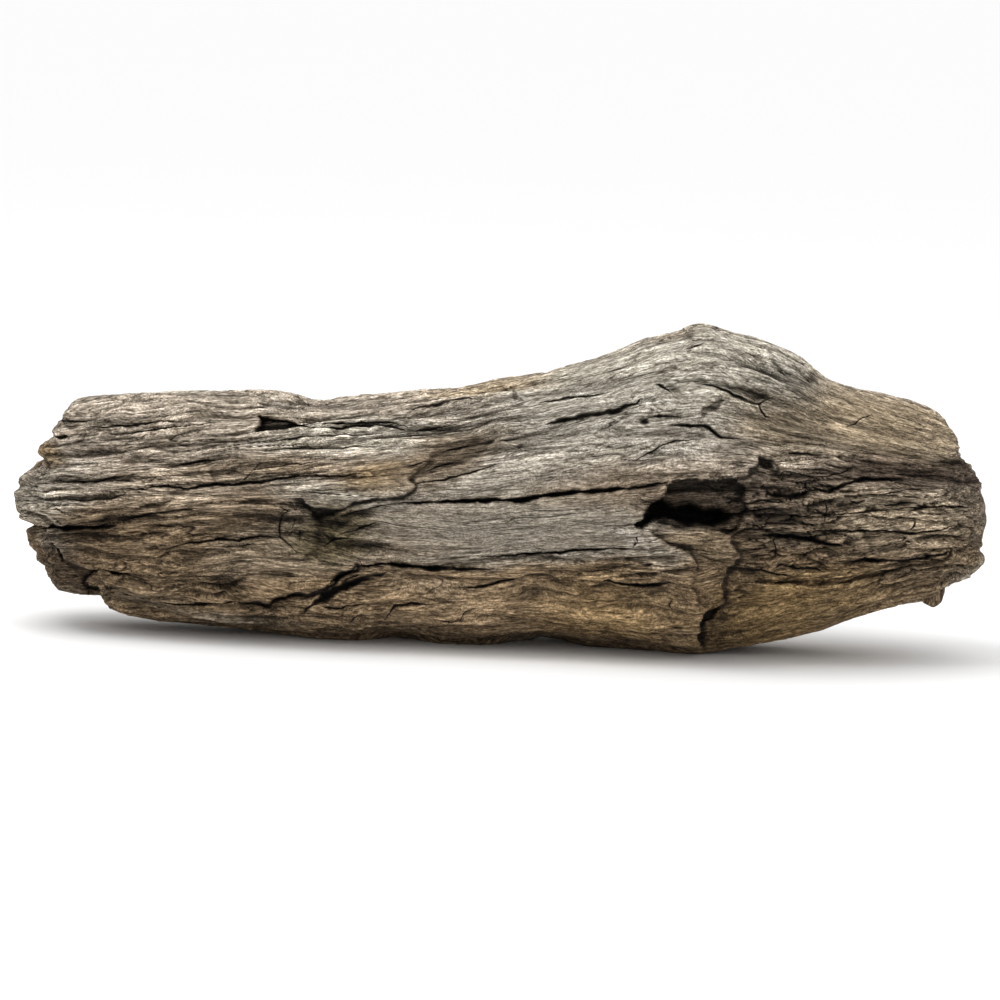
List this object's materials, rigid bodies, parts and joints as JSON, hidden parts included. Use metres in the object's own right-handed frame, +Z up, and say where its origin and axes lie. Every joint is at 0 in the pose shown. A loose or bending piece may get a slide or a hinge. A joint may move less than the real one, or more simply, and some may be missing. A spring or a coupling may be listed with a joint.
{
  "type": "driftwood log",
  "caption": "Short weathered log of driftwood with a humped top, broken ends, long cracks and a dark cavity, lying on its underside.",
  "frame": {"origin": "middle of the bounding box on its underside, on the surface that the log lies on", "axes": "+X along the log towards its humped end, -Y out of the worn face with the cavity, +Z up"},
  "size_m": [0.4506, 0.116, 0.1534],
  "materials": {
    "weathered_wood": "bleached, cracked and matt"
  },
  "bodies": {
    "root": {"driftwood": "weathered_wood"}
  },
  "joints": []
}
